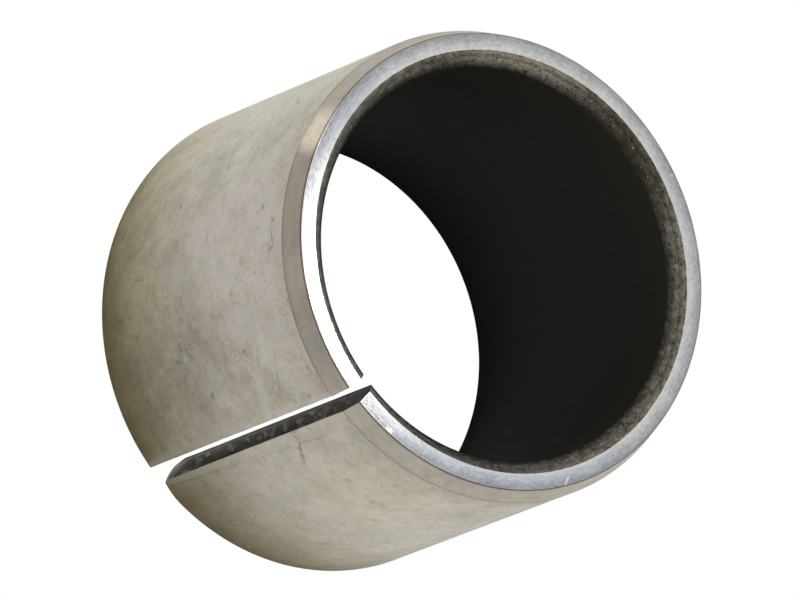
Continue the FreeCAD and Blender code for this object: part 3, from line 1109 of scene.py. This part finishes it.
def drawn(tree, low, high, seed):
    """Random number for each point."""
    sockets = {2: low, 3: high, "Seed": seed}
    return add(tree, "FunctionNodeRandomValue", sockets, data_type="FLOAT").outputs[1]


print("film edge at", round(FILM_EDGE, 3), "mm from the axis")


# %% Geometry tree: grains
def scatter_grains(finish):
    """Tree that scatters grains over the zone of the inner chamfer."""
    tree, size, result = new_group("scatter grains", "GeometryNodeTree", GRAINS, {"Geometry": "Geometry"})
    points, facing = bare_points(tree, size)
    across = drawn(tree, size["Smallest"], size["Largest"], 11)
    along = drawn(tree, size["Smallest"], size["Largest"], 12)
    thick = product(tree, calc(tree, "MINIMUM", across, along), size["Flatness"])
    spin = joined(tree, z=drawn(tree, 0.0, math.pi, 13))
    spin = add(tree, "FunctionNodeEulerToRotation", {0: spin}).outputs[0]
    lying = add(tree, "FunctionNodeRotateRotation", {0: facing, 1: spin}, rotation_space="LOCAL").outputs[0]
    ball = add(tree, "GeometryNodeMeshUVSphere", {"Segments": 7, "Rings": 5, "Radius": 1.0}).outputs["Mesh"]
    scale = joined(tree, across, along, thick)
    sockets = {"Points": points, "Instance": ball, "Rotation": lying, "Scale": scale}
    grains = add(tree, "GeometryNodeInstanceOnPoints", sockets).outputs[0]
    grains = add(tree, "GeometryNodeRealizeInstances", {"Geometry": grains}).outputs[0]
    here = add(tree, "GeometryNodeInputPosition").outputs[0]
    dents = noise(tree, here, calc(tree, "DIVIDE", 1.0, size["Dent size"]), 1.0)["Color"]
    dents = vector_calc(tree, "SUBTRACT", dents, (0.5, 0.5, 0.5))
    dents = vector_calc(tree, "SCALE", dents, scale=size["Dents"])
    grains = add(tree, "GeometryNodeSetPosition", {"Geometry": grains, "Offset": dents}).outputs[0]
    grains = add(tree, "GeometryNodeSetShadeSmooth", {"Geometry": grains}).outputs[0]
    grains = add(tree, "GeometryNodeSetMaterial", {"Geometry": grains, "Material": finish}).outputs[0]
    plug(tree, result["Geometry"], grains)
    return tree


grains = bpy.data.objects.new("bronze_grains", lining.data.copy())
scene.collection.objects.link(grains)
grow(grains, scatter_grains(grain_finish))

# %% [markdown]
# ## Hand the pieces to the frame
#
# The rolled steel and the lining are finer meshes of the two solids, in the same place, so they stand for
# them. The grains lie in the lining's surface.

# %% Ride and replace
for piece, slot in ((steel, "plated_steel"), (lining, "sliding_lining"), (grains, "sliding_lining")):
    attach(piece, "root")
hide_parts("steel_backing")
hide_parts("sliding_layer")

# %% [markdown]
# ## Floor and room
#
# The ring stands on a pale floor. To the camera the floor is plain white, and so is the room. To the part the
# floor is matte paper, and that matters: from this angle the whole outside mirrors the floor just in front of
# it, with the ring's own soft shade in it, which is what makes the lower end so dark.


# %% Floor and room
def white_to_camera(tree, white_kind, other):
    """Plain white where the camera sees it, and another shader for all other rays."""
    white = add(tree, white_kind, {"Color": (1.0, 1.0, 1.0), "Strength": 1.0}).outputs[0]
    seen = add(tree, "ShaderNodeLightPath").outputs["Is Camera Ray"]
    return add(tree, "ShaderNodeMixShader", {0: seen, 1: other, 2: white}).outputs[0]


FLOOR_HALF = 2.0
floor_corners = [(x * FLOOR_HALF, y * FLOOR_HALF, 0) for x, y in ((-1, -1), (1, -1), (1, 1), (-1, 1))]
floor_mesh = bpy.data.meshes.new("floor")
floor_mesh.from_pydata(floor_corners, [], [(0, 1, 2, 3)])
floor = bpy.data.objects.new("floor", floor_mesh)
scene.collection.objects.link(floor)
paper = bpy.data.materials.new("paper_floor")
paper.use_nodes = True
paper.node_tree.nodes.clear()
matte = add(paper.node_tree, "ShaderNodeBsdfDiffuse", {"Color": (0.80, 0.80, 0.79)}).outputs[0]
surface = white_to_camera(paper.node_tree, "ShaderNodeEmission", matte)
add(paper.node_tree, "ShaderNodeOutputMaterial", {0: surface})
floor_mesh.materials.append(paper)

room = bpy.data.worlds.new("studio")
scene.world = room
room.use_nodes = True
room.node_tree.nodes.clear()
warm = add(room.node_tree, "ShaderNodeBackground", {"Color": (1.0, 0.90, 0.68), "Strength": 0.20}).outputs[0]
surroundings = white_to_camera(room.node_tree, "ShaderNodeBackground", warm)
add(room.node_tree, "ShaderNodeOutputWorld", {0: surroundings})
print("floor and room ready")

# %% [markdown]
# ## Light
#
# One softbox hangs almost overhead, a little behind the ring. It puts the front of the floor in soft shade
# and burns out one side of the turned end face. A dim cool panel behind is what the rest of that face
# mirrors, and a dim warm one in front lightens the inner chamfer and the bore.

# %% Softboxes
LIGHT_DISTANCE = 0.30


def direction(azimuth, elevation):
    """Unit vector from the ring towards a place in the room, azimuth from +X."""
    flat = math.cos(math.radians(elevation))
    turn = math.radians(azimuth)
    return Vector((flat * math.cos(turn), flat * math.sin(turn), math.sin(math.radians(elevation))))


def softbox(name, azimuth, elevation, width, radiance, colour):
    """Round area light that faces the ring. Radiance is its brightness as the part sees it."""
    data = bpy.data.lights.new(name, "AREA")
    data.shape = "DISK"
    data.size = width
    data.energy = radiance * math.pi * math.pi * (width / 2) ** 2
    data.color = colour
    light = bpy.data.objects.new(name, data)
    towards = direction(azimuth, elevation)
    light.location = towards * LIGHT_DISTANCE + Vector((0, 0, LENGTH * MM / 2))
    light.rotation_euler = towards.to_track_quat("Z", "Y").to_euler()
    light.visible_camera = False
    scene.collection.objects.link(light)
    print(name, "at", [round(v, 3) for v in light.location], "m,", round(data.energy, 3), "W")


softbox("overhead_softbox", 85, 76, width=0.085, radiance=34.0, colour=(1.0, 0.985, 0.965))
softbox("back_panel", 73, 55, width=0.22, radiance=0.50, colour=(0.92, 0.95, 1.0))
softbox("front_panel", -120, 35, width=0.24, radiance=0.45, colour=(1.0, 0.96, 0.88))

# %% [markdown]
# ## Camera
#
# The photo looks down into the ring from far away, through a long lens, with the camera rolled so that the
# ring lies on a slant. The angles were fitted to the ring's edges.

# %% Camera
CAMERA_AZIMUTH = math.radians(-17.087)
CAMERA_ELEVATION = math.radians(56.574)
CAMERA_ROLL = math.radians(68.17)
CAMERA_DISTANCE = 0.45691
AIM = Vector((-0.052, 0.005, 4.95)) * MM
camera_data = bpy.data.cameras.new("camera")
camera_data.sensor_fit = "HORIZONTAL"
camera_data.sensor_width = 36.0
camera_data.lens = 816.47
camera_data.clip_start = 0.01
camera = bpy.data.objects.new("camera", camera_data)
scene.collection.objects.link(camera)
facing = Matrix.Rotation(CAMERA_AZIMUTH, 4, "Z") @ Matrix.Rotation(math.pi / 2 - CAMERA_ELEVATION, 4, "X")
facing = facing @ Matrix.Rotation(CAMERA_ROLL, 4, "Z")
camera.matrix_world = Matrix.Translation(AIM) @ facing @ Matrix.Translation((0, 0, CAMERA_DISTANCE))
scene.camera = camera
scene.view_settings.view_transform = "Standard"
print("camera at", [round(v / MM, 2) for v in camera.matrix_world.translation], "mm")
